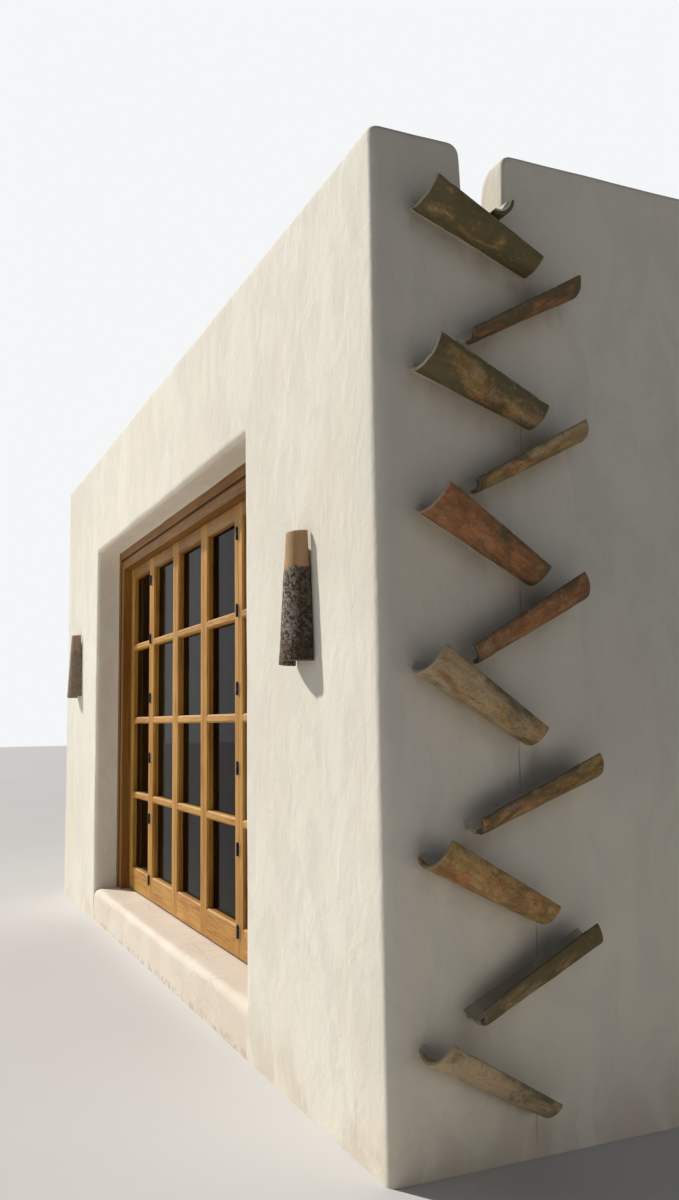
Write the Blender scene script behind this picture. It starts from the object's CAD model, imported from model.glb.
import math

import bmesh
import bpy
import numpy as np
from mathutils import Matrix, Vector


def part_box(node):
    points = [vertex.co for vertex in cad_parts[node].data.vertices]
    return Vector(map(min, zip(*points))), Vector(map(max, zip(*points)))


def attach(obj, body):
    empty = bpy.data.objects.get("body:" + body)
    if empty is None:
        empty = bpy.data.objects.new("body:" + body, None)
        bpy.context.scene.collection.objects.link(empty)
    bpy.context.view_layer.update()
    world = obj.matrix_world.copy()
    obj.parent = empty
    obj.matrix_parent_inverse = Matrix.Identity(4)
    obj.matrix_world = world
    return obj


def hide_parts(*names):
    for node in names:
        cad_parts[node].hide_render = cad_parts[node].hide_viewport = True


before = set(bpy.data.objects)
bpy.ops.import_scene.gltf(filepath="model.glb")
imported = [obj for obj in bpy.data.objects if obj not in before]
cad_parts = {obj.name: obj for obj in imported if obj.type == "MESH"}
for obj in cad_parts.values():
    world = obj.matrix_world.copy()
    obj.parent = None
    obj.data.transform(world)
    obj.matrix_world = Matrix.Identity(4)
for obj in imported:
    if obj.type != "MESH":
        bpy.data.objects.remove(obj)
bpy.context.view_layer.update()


def arrays(corners):
    """The lowest and highest corner of a box as arrays."""
    return [np.array(c) for c in corners]


# Sizes read from the frame, in metres
PIER_LO, PIER_HI = arrays(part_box("front_left_pier"))
LEFT, FRONT = PIER_LO[:2]
RIGHT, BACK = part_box("back_wall")[1][:2]
TOP = PIER_HI[2]
HALF_OPENING = -PIER_HI[0]
WALL = PIER_HI[1] - PIER_LO[1]
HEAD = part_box("front_lintel")[0][2]
ROOF_LO, ROOF_HI = arrays(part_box("roof_slab"))
PARAPET = RIGHT - ROOF_HI[0]
LEDGE = ROOF_LO[2]
STEP_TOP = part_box("door_step")[1][2]
FRAME_LO, FRAME_HI = arrays(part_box("frame_head"))
FRAME_WIDTH = FRAME_HI[2] - FRAME_LO[2]
SCUPPER_LO, SCUPPER_HI = arrays(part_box("scupper_tile"))

# The camera of the photograph, found from the straight edges of the house
CAMERA_PLACE = (5.816, -3.489, 1.363)
CAMERA_YAW = math.radians(66.10)
CAMERA_PITCH = math.radians(6.67)
CAMERA_ROLL = math.radians(-0.81)
CAMERA_LENS = 30.736

# Light
SUN_FROM = Vector((-0.66, -0.44, 0.61))
SUN_STRENGTH = 3.92
SUN_ANGLE = math.radians(2.5)
FILL = 0.068
BACKDROP = 0.93
# Soft cards: power, width, height, place, point aimed at, spread in degrees, colour. They are
# placed from the foot of the front right corner.
CARDS = [(1.9, 2.6, 0.7, Vector((2.4, 1.4, 0.55)), Vector((0, 0.8, 0.20)), 75, (1.0, 0.94, 0.85)),
         (34, 5.0, 4.0, Vector((-5.0, -6.9, 3.0)), Vector((-3.0, 0, 1.4)), 120, (0.96, 0.98, 1.0)),
         (9, 1.6, 0.8, Vector((-1.5, -2.6, 0.12)), Vector((-4.6, 0.1, 2.1)), 80, (1.0, 0.95, 0.88))]
FLOOR_HALF = 60
FLOOR_DROP = 0.0006

# Plaster: radii of its hand-rounded edges, how uneven it is, and the spacing of its grid
CORNER_R = 0.036
COPING_OUT_R = 0.024
COPING_IN_R = 0.055
FINE = 0.032
FACE_SWELL = 0.0045
TOP_SWELL = 0.006
OPENING_R = 0.027
OPENING_CORNER = 0.20
MARGIN = 0.040
HOLE = RIGHT - HALF_OPENING - MARGIN
LAP = 0.004
REVEAL_SWELL = 0.0012
ROOF_FALL = 0.012
ROOF_DRAIN = 3.030
COVE_RISE = 0.035
COVE_RUN = 0.04
STEP_NOSE_R = 0.044
STEP_LEAN = 0.007

# Thin drip lines on the side wall: place along Y, top, length
DRIPS = [(-1.552, 2.335, 0.10), (-1.576, 1.790, 0.10), (-1.602, 1.268, 0.17), (-1.559, 0.700, 0.15),
         (-1.582, 0.135, 0.12)]
DRIP_HALF = 0.004

# The notch and the tile in it
NOTCH_Y = (SCUPPER_LO[1] + SCUPPER_HI[1]) / 2
NOTCH_HALF = 0.086
NOTCH_R = 0.040
CHEEK_LEAN = 0.008
CHEEK_R = 0.012
SCUPPER_SLOPE = math.radians(5)
SCUPPER_LEN = 0.320
SCUPPER_BROKEN = 0.42
SCUPPER_RIM_Z = SCUPPER_HI[2] - SCUPPER_LEN * math.sin(SCUPPER_SLOPE)
SCUPPER_OUT = SCUPPER_HI[0] - RIGHT

# Clay tiles, and how far wear has warped, chipped and bitten them
TILE_LEN = 0.470
TILE_WIDE_R = 0.090
TILE_NARROW_R = 0.062
TILE_TAPER = (TILE_WIDE_R - TILE_NARROW_R) / TILE_LEN
CLAY = 0.014
WARP = 0.0012
CHIP = 0.0022
BITE = 0.0032
OFF_WIDE = 0.058
OFF_NARROW = 0.044
NEAR_Y = 0.160
POUR_IN = 0.125
USUAL_FALL = 0.220
FAR_Y = NEAR_Y + math.sqrt(TILE_LEN ** 2 - USUAL_FALL ** 2) + POUR_IN
FIRST_LIFT = 0.016
PAST_END = 0.014
# Where the clean upper part of a wall light begins, as a share of its length from its foot
LICHEN_LINE = 0.73
# Each tile from the top down: fall from end to end, turn in degrees, drop from the tile above,
# shift to the rear
HAND_LAID = [(0.191, -1, 0.000, 0.009), (0.242, -22, 0.032, 0.003), (0.176, 17, 0.086, -0.005),
             (0.235, -16, 0.006, 0.008), (0.242, 11, 0.051, 0.014), (0.242, 6, 0.015, -0.014),
             (0.256, 11, 0.007, -0.012), (0.191, 1, 0.073, 0.015), (0.228, 11, 0.063, -0.010),
             (0.228, 7, 0.049, -0.019), (0.242, -1, 0.058, -0.018)]
# Each tile's shares of terracotta, moss and pale crust; how much more moss, and less pale crust, its
# lower end has than its upper one; how pale its broken ends are; the share of its wall-side wing that
# is broken off at the lower end and made good in plaster; and how far the plaster in its hollow
# reaches down from the wall, in degrees
TILE_LOOKS = [(0.30, 0.80, 0.10, 0.50, 0.70, 0, 25), (0.90, 0.48, 0.10, -0.15, 0.20, 0.45, 62),
              (0.45, 0.60, 0.28, -0.15, 1.00, 0, 25), (0.20, 0.28, 0.50, 0.35, 0.20, 0.42, 46),
              (0.95, 0.30, 0.05, 0.50, 0.80, 0, 25), (0.85, 0.30, 0.15, 0.05, 0.20, 0.40, 42),
              (0.25, 0.20, 0.62, 0.15, 0.70, 0, 25), (0.50, 0.24, 0.30, 0.10, 0.20, 0.38, 28),
              (0.30, 0.00, 0.12, 0.00, 0.35, 0, 25), (0.20, 0.62, 0.25, -0.55, 0.20, 0.42, 32),
              (0.10, 0.22, 0.95, 0.20, 0.30, 0, 25)]

# Timber and hinges
PANES = 4
BAND = 0.062
GROOVE = 0.017
BAND_STEP = 0.004
BAR = 0.045
REBATE = 0.014
CHAMFER = 0.009
GLASS_DEPTH = 0.036
GLASS_THICK = 0.020
LEAF_GAP = 0.003
# Dirt and shade on each face of a frame member, from the outer band's front round to its two ends
FRAME_SHADE = [0.85, 0.98, 1.0, 0.98, 0.72, 0.75, 0.5, 0.85, 0.5, 0.5]
TOP_RAIL_SHADE = 0.5
HINGES = 6
HINGE = 0.068
KNUCKLE_R = 0.007
KNUCKLE_PITCH = 0.0122


# Numbers and shapes

def spaced(a, b, step):
    """Evenly spaced values from a to b, no further apart than step."""
    return np.linspace(a, b, max(2, int(math.ceil(abs(b - a) / step)) + 1))


def chain(*runs):
    """Runs of values end to end, where each run starts at the last one's end, which is kept once."""
    return np.concatenate([runs[0]] + [r[1:] for r in runs[1:]])


def smooth(x, a, b):
    """Zero below a, one above b, and an S-shaped rise between them."""
    t = np.clip((x - a) / (b - a), 0, 1)
    return t * t * (3 - 2 * t)


def bell(x, width):
    """One at x = 0, falling off on both sides as the bell curve of that width."""
    return np.exp(-(x / width) ** 2)


def swell(points, seed, long_wave, short_wave, count=14):
    """Smooth unevenness from -1 to 1: sine waves in random directions whose lengths run
    from long_wave to short_wave, each as high as it is long."""
    rng = np.random.default_rng(seed)
    waves = np.geomspace(long_wave, short_wave, count)
    ways = rng.normal(size=(count, 3))
    ways /= np.linalg.norm(ways, axis=1)[:, None]
    phases = rng.uniform(0, 2 * np.pi, count)
    heights = waves / np.sqrt((waves ** 2).sum() / 2)
    sines = np.sin(points @ (2 * np.pi * ways / waves[:, None]).T + phases)
    return np.clip(sines @ heights / 2.2, -1, 1)


def net(rows, cols, close_rows=False, close_cols=False, skip=None):
    """Quads of a grid whose corner (i, j) is number i * cols + j; skip is a mask of cells left out."""
    i, j = np.meshgrid(np.arange(rows if close_rows else rows - 1),
                       np.arange(cols if close_cols else cols - 1), indexing="ij")
    if skip is not None:
        i, j = i[~skip], j[~skip]
    i, j = i.ravel(), j.ravel()
    k, m = (i + 1) % rows, (j + 1) % cols
    return np.stack([i * cols + j, k * cols + j, k * cols + m, i * cols + m], 1).tolist()


def tube(rows, cols):
    """Quads of a closed profile of cols corners carried along rows places, and its two end faces."""
    ends = [list(range(cols)), list(range((rows - 1) * cols, rows * cols))]
    return net(rows, cols, close_cols=True) + ends


def perimeter(rows, cols):
    """Numbers of the points round a grid's edge, in order."""
    i, j = np.arange(rows), np.arange(cols)
    return np.concatenate([i[:-1] * cols, (rows - 1) * cols + j[:-1], i[:0:-1] * cols + cols - 1, j[:0:-1]])


def shown(name, data):
    """A new object in the scene, at the origin."""
    obj = bpy.data.objects.new(name, data)
    bpy.context.scene.collection.objects.link(obj)
    return obj


def piece(name, points, faces, material, slot, nodes=(), marks=None, crease=40, bevel=0.0, segments=2):
    """A mesh object that rides on the house, from corner points and faces. Marks are values per
    corner, or per face where there are as many as faces. The bevel rounds edges over 30 degrees."""
    mesh = bpy.data.meshes.new(name)
    mesh.from_pydata(np.asarray(points).reshape(-1, 3).tolist(), [], faces)
    for key, values in (marks or {}).items():
        domain = "FACE" if len(values) == len(faces) else "POINT"
        layer = mesh.attributes.new(key, "FLOAT", domain)
        layer.data.foreach_set("value", np.asarray(values, dtype=np.float32))
    shape = bmesh.new()
    shape.from_mesh(mesh)
    bmesh.ops.remove_doubles(shape, verts=shape.verts, dist=1e-5)
    bmesh.ops.recalc_face_normals(shape, faces=shape.faces)
    shape.to_mesh(mesh)
    shape.free()
    mesh.shade_smooth()
    mesh.set_sharp_from_angle(angle=math.radians(crease))
    mesh.materials.append(material)
    obj = shown(name, mesh)
    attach(obj, "root")
    if nodes:
        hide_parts(*nodes)
    if bevel:
        edges = obj.modifiers.new("edges", "BEVEL")
        edges.width = bevel
        edges.segments = segments
        edges.limit_method = "ANGLE"
        edges.angle_limit = math.radians(30)
        edges.use_clamp_overlap = True


# Shader building

class Nodes:
    """Short calls that add nodes to one node tree and link them. Colours are linear red, green, blue."""

    def __init__(self, tree):
        self.tree = tree

    def add(self, kind, inputs=None, **settings):
        node = self.tree.nodes.new("ShaderNode" + kind)
        for key, value in settings.items():
            setattr(node, key, value)
        for key, value in (inputs or {}).items():
            self.put(value, node.inputs[key])
        return node

    def put(self, value, socket):
        if isinstance(value, bpy.types.NodeSocket):
            self.tree.links.new(value, socket)
        elif socket.type == "RGBA":
            socket.default_value = (*value, 1.0)
        else:
            socket.default_value = value

    def coords(self):
        return self.add("TexCoord").outputs["Object"]

    def mark(self, name):
        return self.add("Attribute", attribute_name=name).outputs["Fac"]

    def stretch(self, vector, scale, place=(0, 0, 0), turn=(0, 0, 0)):
        return self.add("Mapping", {"Vector": vector, "Scale": scale, "Location": place,
                                    "Rotation": turn}).outputs[0]

    def scaled(self, vector, share):
        return self.add("VectorMath", {0: vector, "Scale": share}, operation="SCALE").outputs[0]

    def noise(self, vector, scale, detail=3, rough=0.55, twist=0):
        return self.add("TexNoise", {"Vector": vector, "Scale": scale, "Detail": detail,
                                     "Roughness": rough, "Distortion": twist}).outputs["Fac"]

    def maths(self, kind, a, b, clamp=False):
        return self.add("Math", {0: a, 1: b}, operation=kind, use_clamp=clamp).outputs[0]

    def plus(self, a, b):
        return self.maths("ADD", a, b)

    def times(self, total, *values):
        for value in values:
            total = self.maths("MULTIPLY", total, value)
        return total

    def ramp(self, value, low, high, out_low=0, out_high=1):
        return self.add("MapRange", {"Value": value, "From Min": low, "From Max": high, "To Min": out_low,
                                     "To Max": out_high}, interpolation_type="SMOOTHSTEP").outputs[0]

    def cover(self, noise, share, soft):
        """A mask over about that share of a surface, from a noise; share is a number or a socket."""
        edge = self.maths("SUBTRACT", 0.71, self.times(share, 0.42))
        return self.ramp(noise, self.maths("SUBTRACT", edge, soft), self.plus(edge, soft))

    def tinted(self, amount, base, low, high):
        """A colour made darker and lighter, from low to high times itself."""
        return self.scaled(base, self.ramp(amount, 0.3, 0.7, low, high))

    def blend(self, amount, a, b):
        """Colour a where the amount is zero, and colour b where it is one."""
        return self.add("Mix", {0: amount, 6: a, 7: b}, data_type="RGBA").outputs[2]

    def coat(self, base, colour, mask, *shares):
        """A colour over the base, as much as the mask and the shares say together."""
        return self.blend(self.times(mask, *shares), base, colour)

    def bump(self, height, strength, depth, under=None):
        node = self.add("Bump", {"Height": height, "Strength": strength, "Distance": depth})
        if under is not None:
            self.put(under, node.inputs["Normal"])
        return node.outputs[0]

    def group(self, name, **inputs):
        return self.add("Group", inputs, node_tree=GROUPS[name]).outputs

    def on_tile(self):
        """Coordinates that lie on a tile: round it, along it, and apart from the other tiles."""
        third = self.times(self.mark("member"), 3.7)
        return self.add("CombineXYZ", {0: self.mark("round"), 1: self.mark("along"), 2: third}).outputs[0]

    def give(self, end, **masks):
        """Links a group's masks to its outputs and returns the group."""
        for key, value in masks.items():
            self.put(value, end[key])
        return self.tree

    def done(self, base, rough=None, normal=None):
        """Links colour, roughness and normal to the material's shader and returns the material."""
        for key, value in (("Base Color", base), ("Roughness", rough), ("Normal", normal)):
            if value is not None:
                self.put(value, self.shader.inputs[key])
        return self.material


def new_group(name, values, masks):
    """A shader group that takes a vector and the named values, and puts out the named masks."""
    tree = bpy.data.node_groups.new(name, "ShaderNodeTree")
    tree.interface.new_socket("Vector", in_out="INPUT", socket_type="NodeSocketVector")
    for way, keys in (("INPUT", values), ("OUTPUT", masks)):
        for key in keys:
            tree.interface.new_socket(key, in_out=way, socket_type="NodeSocketFloat")
    entry = tree.nodes.new("NodeGroupInput").outputs
    return Nodes(tree), entry, tree.nodes.new("NodeGroupOutput").inputs


def clouds_group():
    """Hand-trowelled plaster: broad clouds, patches a hand or two wide, fine speckle and relief."""
    n, entry, end = new_group("trowelled", ["Scale"], ["Clouds", "Patches", "Speckle", "Relief", "Sweeps"])
    at = n.scaled(entry["Vector"], entry["Scale"])
    upright = n.stretch(at, (1, 1, 0.55))
    leaning = n.stretch(at, (1, 1, 0.6), turn=(0.25, 0.25, 0))
    relief = n.plus(n.times(n.noise(leaning, 24, 3, 0.5, 0.8), 0.8), n.times(n.noise(at, 170, 3, 0.6), 0.2))
    return n.give(end, Clouds=n.noise(upright, 1.4, 3, 0.5, 0.5), Patches=n.noise(upright, 5, 4, 0.6, 0.9),
                  Speckle=n.noise(at, 60, 3, 0.65), Sweeps=n.noise(leaning, 8, 4, 0.55, 1.4), Relief=relief)


def crust_group():
    """What grows on old clay, from a vector and the shares of the surface that moss and pale crust
    take: both masks, fine specks, rosettes a few millimetres wide, and their relief."""
    n, entry, end = new_group("crust", ["Moss", "Pale"], ["Moss", "Pale", "Specks", "Rosettes", "Relief"])
    at = entry["Vector"]
    small = n.noise(at, 120, 4, 0.68, 0.4)
    moss = n.cover(n.noise(n.stretch(at, (1, 0.45, 1)), 13, 6, 0.62, 0.7), entry["Moss"], 0.10)
    pale = n.cover(n.noise(n.stretch(at, (1, 0.35, 1), (3, 1, 2)), 12, 6, 0.62, 1), entry["Pale"], 0.12)
    dots = n.ramp(n.noise(n.stretch(at, (1, 1, 1), (0.3, 0.1, 0.7)), 85, 4, 0.6, 0.8), 0.56, 0.66)
    patchy = n.ramp(n.noise(n.stretch(at, (1, 1, 1), (7, 2, 4)), 17, 3, 0.6), 0.50, 0.62)
    rosettes = n.times(dots, patchy)
    relief = n.plus(small, n.plus(n.times(moss, 0.25), n.times(rosettes, 0.4)))
    return n.give(end, Moss=moss, Pale=pale, Specks=n.ramp(small, 0.53, 0.66), Rosettes=rosettes,
                  Relief=relief)


def grain_group():
    """Sawn oak along Z: growth lines, short pores and slow changes of colour."""
    n, entry, end = new_group("oak_grain", [], ["Lines", "Pores", "Drift"])
    at = entry["Vector"]
    bend = n.noise(n.stretch(at, (3, 3, 0.5)), 3, 2, 0.5)
    lines = n.noise(n.stretch(at, (1, 1, 0.035)), 95, 4, 0.62, 1.2)
    pores = n.noise(n.stretch(at, (1, 1, 0.03)), 420, 2, 0.6)
    return n.give(end, Lines=n.ramp(n.plus(n.times(lines, 0.75), n.times(bend, 0.25)), 0.34, 0.66),
                  Pores=n.ramp(pores, 0.60, 0.72), Drift=n.noise(n.stretch(at, (1, 1, 0.3)), 4.5, 3, 0.55))


GROUPS = {"clouds": clouds_group(), "crust": crust_group(), "grain": grain_group()}


def finish(name, rough=0.8, metallic=0.0, **sockets):
    """The node maker of a new material with one Principled shader."""
    material = bpy.data.materials.new(name)
    material.use_nodes = True
    tree = material.node_tree
    tree.nodes.clear()
    n = Nodes(tree)
    n.material = material
    n.shader = n.add("BsdfPrincipled", {"Roughness": rough, "Metallic": metallic})
    for key, value in sockets.items():
        n.shader.inputs[key.replace("_", " ")].default_value = value
    n.add("OutputMaterial", {0: n.shader.outputs[0]})
    return n


def plaster_material():
    """Lime plaster: warm white in soft patches of cream, grey and pink, brown under the tiles, with
    drip lines on the side wall and splashes at its foot."""
    n = finish("lime_plaster", 0.88, Specular_IOR_Level=0.25)
    at = n.coords()
    marks = n.group("clouds", Vector=at, Scale=1)
    relief, patches = marks["Relief"], marks["Patches"]
    base = n.blend(n.ramp(marks["Clouds"], 0.38, 0.62), (0.800, 0.742, 0.612), (0.826, 0.788, 0.676))
    base = n.coat(base, (0.728, 0.686, 0.588), n.ramp(patches, 0.42, 0.62, 0, 0.62))
    pink = n.noise(n.stretch(at, (1, 1, 0.6), (3.1, 1.7, 0.4)), 2.6, 4, 0.55, 0.6)
    base = n.coat(base, (0.800, 0.712, 0.620), n.ramp(pink, 0.50, 0.68, 0, 0.4))
    base = n.coat(base, (0.600, 0.560, 0.490), n.ramp(marks["Speckle"], 0.58, 0.76, 0, 0.25))
    base = n.coat(base, (0.360, 0.285, 0.190), n.mark("stain"), n.ramp(patches, 0.30, 0.62, 0.6))
    base = n.coat(base, (0.160, 0.150, 0.130), n.mark("drip"), 0.62)
    foot = n.ramp(n.add("SeparateXYZ", {0: at}).outputs[2], 0.26, 0)
    base = n.coat(base, (0.640, 0.525, 0.405), foot, n.ramp(patches, 0.38, 0.62, 0.12, 0.48))
    coarse = n.bump(marks["Sweeps"], 0.45, 0.009)
    return n.done(base, n.ramp(relief, 0.3, 0.7, 0.80, 0.95), n.bump(relief, 0.5, 0.0045, coarse))


def step_material():
    """Polished pinkish cream plaster, finely cracked, and flaked at its foot."""
    n = finish("step_plaster", 0.7, Specular_IOR_Level=0.3)
    at = n.coords()
    marks = n.group("clouds", Vector=n.stretch(at, (1, 1, 1.8)), Scale=1.6)
    base = n.blend(n.ramp(marks["Clouds"], 0.36, 0.64), (0.725, 0.635, 0.520), (0.770, 0.700, 0.595))
    base = n.coat(base, (0.740, 0.600, 0.470), n.ramp(marks["Patches"], 0.46, 0.7, 0, 0.35))
    cells = n.add("TexVoronoi", {"Vector": n.stretch(at, (1, 1, 2.2)), "Scale": 5},
                  feature="DISTANCE_TO_EDGE")
    cracks = n.times(n.ramp(cells.outputs["Distance"], 0.010, 0), n.ramp(n.noise(at, 3), 0.5, 0.6))
    low = n.ramp(n.add("SeparateXYZ", {0: at}).outputs[2], 0.05, 0)
    flakes = n.times(low, n.ramp(n.noise(at, 24, 4, 0.6), 0.48, 0.58))
    base = n.coat(base, (0.22, 0.16, 0.11), cracks, 0.55)
    base = n.coat(base, (0.36, 0.27, 0.19), flakes, 0.5)
    relief = n.maths("SUBTRACT", marks["Relief"], n.plus(cracks, flakes))
    return n.done(base, normal=n.bump(relief, 0.4, 0.005))


def screed_material(name, light, dark):
    """Lime screed on the roof or the floor, with water marks."""
    n = finish(name, 0.85)
    marks = n.group("clouds", Vector=n.stretch(n.coords(), (1, 1, 3)), Scale=0.8)
    base = n.blend(n.ramp(marks["Clouds"], 0.35, 0.65), light, dark)
    base = n.coat(base, (0.46, 0.41, 0.34), n.ramp(marks["Patches"], 0.5, 0.7, 0, 0.5))
    return n.done(base, normal=n.bump(marks["Relief"], 0.35, 0.004))


def oak_material():
    """Oiled honey oak, whose grain follows each member and whose tone changes from one to the next."""
    n = finish("oiled_oak", 0.45, Specular_IOR_Level=0.22)
    at = n.coords()
    x, y, z = n.add("SeparateXYZ", {0: at}).outputs
    lying = n.add("CombineXYZ", {0: y, 1: z, 2: x}).outputs[0]
    along = n.add("Mix", {0: n.mark("lying"), 4: at, 5: lying}, data_type="VECTOR").outputs[1]
    member = n.mark("member")
    apart = n.scaled((7.3, 3.1, 11.7), member)
    marks = n.group("grain", Vector=n.add("VectorMath", {0: along, 1: apart}, operation="ADD").outputs[0])
    base = n.blend(marks["Lines"], (0.235, 0.090, 0.012), (0.550, 0.275, 0.050))
    base = n.coat(base, (0.600, 0.330, 0.072), n.ramp(marks["Drift"], 0.38, 0.66, 0, 0.5))
    base = n.coat(base, (0.450, 0.255, 0.075), n.ramp(member, 0.5, 1, 0, 0.3))
    base = n.coat(base, (0.130, 0.055, 0.018), marks["Pores"], 0.35)
    base = n.coat(base, (0.085, 0.030, 0.007), n.mark("shade"), 0.8)
    relief = n.maths("SUBTRACT", n.times(marks["Lines"], 0.5), marks["Pores"])
    return n.done(base, n.ramp(marks["Lines"], 0, 1, 0.55, 0.42), n.bump(relief, 0.25, 0.0006))


def cascade_clay():
    """Old roof clay in ochre and terracotta, under as much moss and pale crust as each tile's marks
    say, darker and browner at its tips and cream along its broken ends."""
    n = finish("weathered_clay", 0.9, Specular_IOR_Level=0.2)
    at = n.on_tile()
    tip, own = n.mark("tip"), n.mark("moss")
    marks = n.group("crust", Vector=at, Moss=n.plus(own, n.times(own, 0.9, tip)), Pale=n.mark("pale"))
    relief = marks["Relief"]
    fire = n.noise(n.stretch(at, (1, 0.5, 1), (5, 3, 1)), 9, 5, 0.6, 0.8)
    base = n.blend(n.cover(fire, n.mark("warm"), 0.09), (0.455, 0.290, 0.112), (0.395, 0.175, 0.078))
    base = n.tinted(n.noise(n.stretch(at, (1, 0.3, 1)), 40, 4, 0.6, 0.5), base, 0.72, 1.22)
    brown = n.cover(n.noise(n.stretch(at, (1, 0.6, 1), (1, 8, 5)), 21, 5, 0.62, 0.9), 0.42, 0.06)
    base = n.coat(base, (0.175, 0.098, 0.046), n.plus(n.times(brown, 0.5), n.times(tip, 0.25)))
    for key, share, colour in (("Pale", 0.66, (0.505, 0.402, 0.268)), ("Moss", 0.84, (0.098, 0.090, 0.045)),
                               ("Specks", 0.55, (0.105, 0.072, 0.038)),
                               ("Rosettes", 0.45, (0.430, 0.365, 0.225))):
        base = n.coat(base, colour, marks[key], share)
    base = n.coat(base, (0.610, 0.520, 0.375), n.mark("rim"), n.ramp(relief, 0.40, 0.75, 0.55, 0.95))
    return n.done(base, n.ramp(relief, 0.3, 0.8, 0.95, 0.78), n.bump(relief, 0.5, 0.0022))


def light_clay():
    """The upright tiles: clean tan clay above a ragged line, and below it dark crust with grey and
    pinkish lichen patches, finer and browner toward the foot and the sunny side and darker down the
    other. A faded tile is an even grey-brown."""
    n = finish("lichened_clay", 0.9, Specular_IOR_Level=0.2)
    at = n.on_tile()
    foot, bare = n.mark("foot"), n.mark("bare")
    grey = n.maths("SUBTRACT", 0.52, n.times(foot, 0.34))
    marks = n.group("crust", Vector=at, Moss=0.55, Pale=grey)
    specks, relief = marks["Specks"], marks["Relief"]
    fine = n.noise(n.stretch(at, (1, 0.25, 1)), 30, 4, 0.6)
    clean = n.coat(n.tinted(fine, (0.485, 0.300, 0.160), 0.88, 1.12), (0.250, 0.150, 0.085), specks, 0.2)
    blots = n.noise(n.stretch(at, (1, 0.8, 1), (2, 5, 3)), 80, 5, 0.62, 1.2)
    crust = n.blend(n.ramp(blots, 0.38, 0.56), (0.020, 0.015, 0.010), (0.115, 0.080, 0.050))
    patches = n.cover(n.noise(n.stretch(at, (1, 0.8, 1), (9, 1, 6)), 72, 4, 0.55, 0.9), grey, 0.02)
    shades = n.blend(n.ramp(blots, 0.40, 0.60), (0.255, 0.205, 0.160), (0.460, 0.400, 0.345))
    crust = n.coat(crust, shades, patches, 0.92)
    golden = n.cover(n.noise(n.stretch(at, (1, 1, 1), (4, 8, 2)), 30, 3, 0.55, 0.6), 0.30, 0.03)
    crust = n.coat(crust, (0.300, 0.190, 0.050), golden, n.ramp(n.mark("along"), 0.20, 0.24), 0.6)
    crust = n.coat(crust, (0.030, 0.022, 0.016), specks, 0.35)
    tan = n.ramp(n.noise(at, 150, 3, 0.6), 0.50, 0.62, 0, 0.75)
    crust = n.coat(crust, (0.380, 0.265, 0.170), n.maths("MAXIMUM", foot, n.mark("sunny")), tan)
    crust = n.coat(crust, (0.030, 0.022, 0.016), n.mark("side"), 0.72)
    base = n.blend(bare, crust, clean)
    base = n.coat(base, n.tinted(blots, (0.270, 0.208, 0.146), 0.72, 1.25), n.mark("faded"))
    base = n.coat(base, (0.460, 0.330, 0.210), n.mark("rim"), 0.3)
    crusted = n.times(n.plus(patches, relief), n.maths("SUBTRACT", 1.1, bare, clamp=True))
    return n.done(base, n.ramp(relief, 0.3, 0.8, 0.96, 0.80), n.bump(crusted, 0.6, 0.0025))


def metal_material(name, base, worn, rough, metallic=0.85):
    """Patinated metal, rubbed brighter in patches."""
    n = finish(name, rough, metallic)
    at = n.coords()
    rubbed = n.ramp(n.noise(at, 90, 4, 0.6), 0.50, 0.68)
    normal = n.bump(n.noise(at, 260), 0.3, 0.0004)
    return n.done(n.blend(rubbed, base, worn), n.ramp(rubbed, 0, 1, rough + 0.15, rough), normal)


def glass_material():
    """Dark double glazing with a thin film of dust."""
    n = finish("tinted_glass", 0.03, Transmission_Weight=1.0, IOR=1.09)
    film = n.noise(n.stretch(n.coords(), (1, 1, 0.4)), 5, 4, 0.6)
    base = n.blend(n.ramp(film, 0.4, 0.7), (0.060, 0.058, 0.040), (0.085, 0.082, 0.058))
    return n.done(base, n.ramp(film, 0.35, 0.75, 0.012, 0.05))


def enamel_material():
    """White enamelled lamp fitting, a little yellowed."""
    n = finish("lamp_enamel", 0.35)
    aged = n.ramp(n.noise(n.coords(), 40, 3, 0.6), 0.4, 0.7)
    return n.done(n.blend(aged, (0.80, 0.78, 0.72), (0.70, 0.64, 0.52)), n.ramp(aged, 0, 1, 0.30, 0.5))


PLASTER = plaster_material()
STEP = step_material()
SCREED = screed_material("roof_screed", (0.70, 0.64, 0.55), (0.60, 0.55, 0.47))
FLOOR = screed_material("floor_screed", (0.58, 0.50, 0.41), (0.50, 0.43, 0.35))
OAK = oak_material()
GLASS = glass_material()
BRONZE = metal_material("dark_bronze", (0.035, 0.027, 0.021), (0.14, 0.10, 0.07), 0.42)
ZINC = metal_material("hinge_flange", (0.56, 0.50, 0.41), (0.70, 0.65, 0.55), 0.5, 0.35)
ENAMEL = enamel_material()
CASCADE_CLAY = cascade_clay()
LIGHT_CLAY = light_clay()


# The walls

def tile_ends(number):
    """Upper and lower end of a cascade tile's axis, from its fall and its place in the zigzag."""
    z = SCUPPER_RIM_Z + FIRST_LIFT
    for above in range(1, number):
        z -= HAND_LAID[above - 1][0] + HAND_LAID[above][2]
    fall, _, _, shift = HAND_LAID[number - 1]
    way = 1 if number % 2 else -1
    y = FRONT + (NEAR_Y if number % 2 else FAR_Y) + shift
    run = math.sqrt(TILE_LEN ** 2 - fall ** 2)
    return np.array([OFF_WIDE, y, z]), np.array([OFF_NARROW, y + way * run, z - fall])


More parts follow.
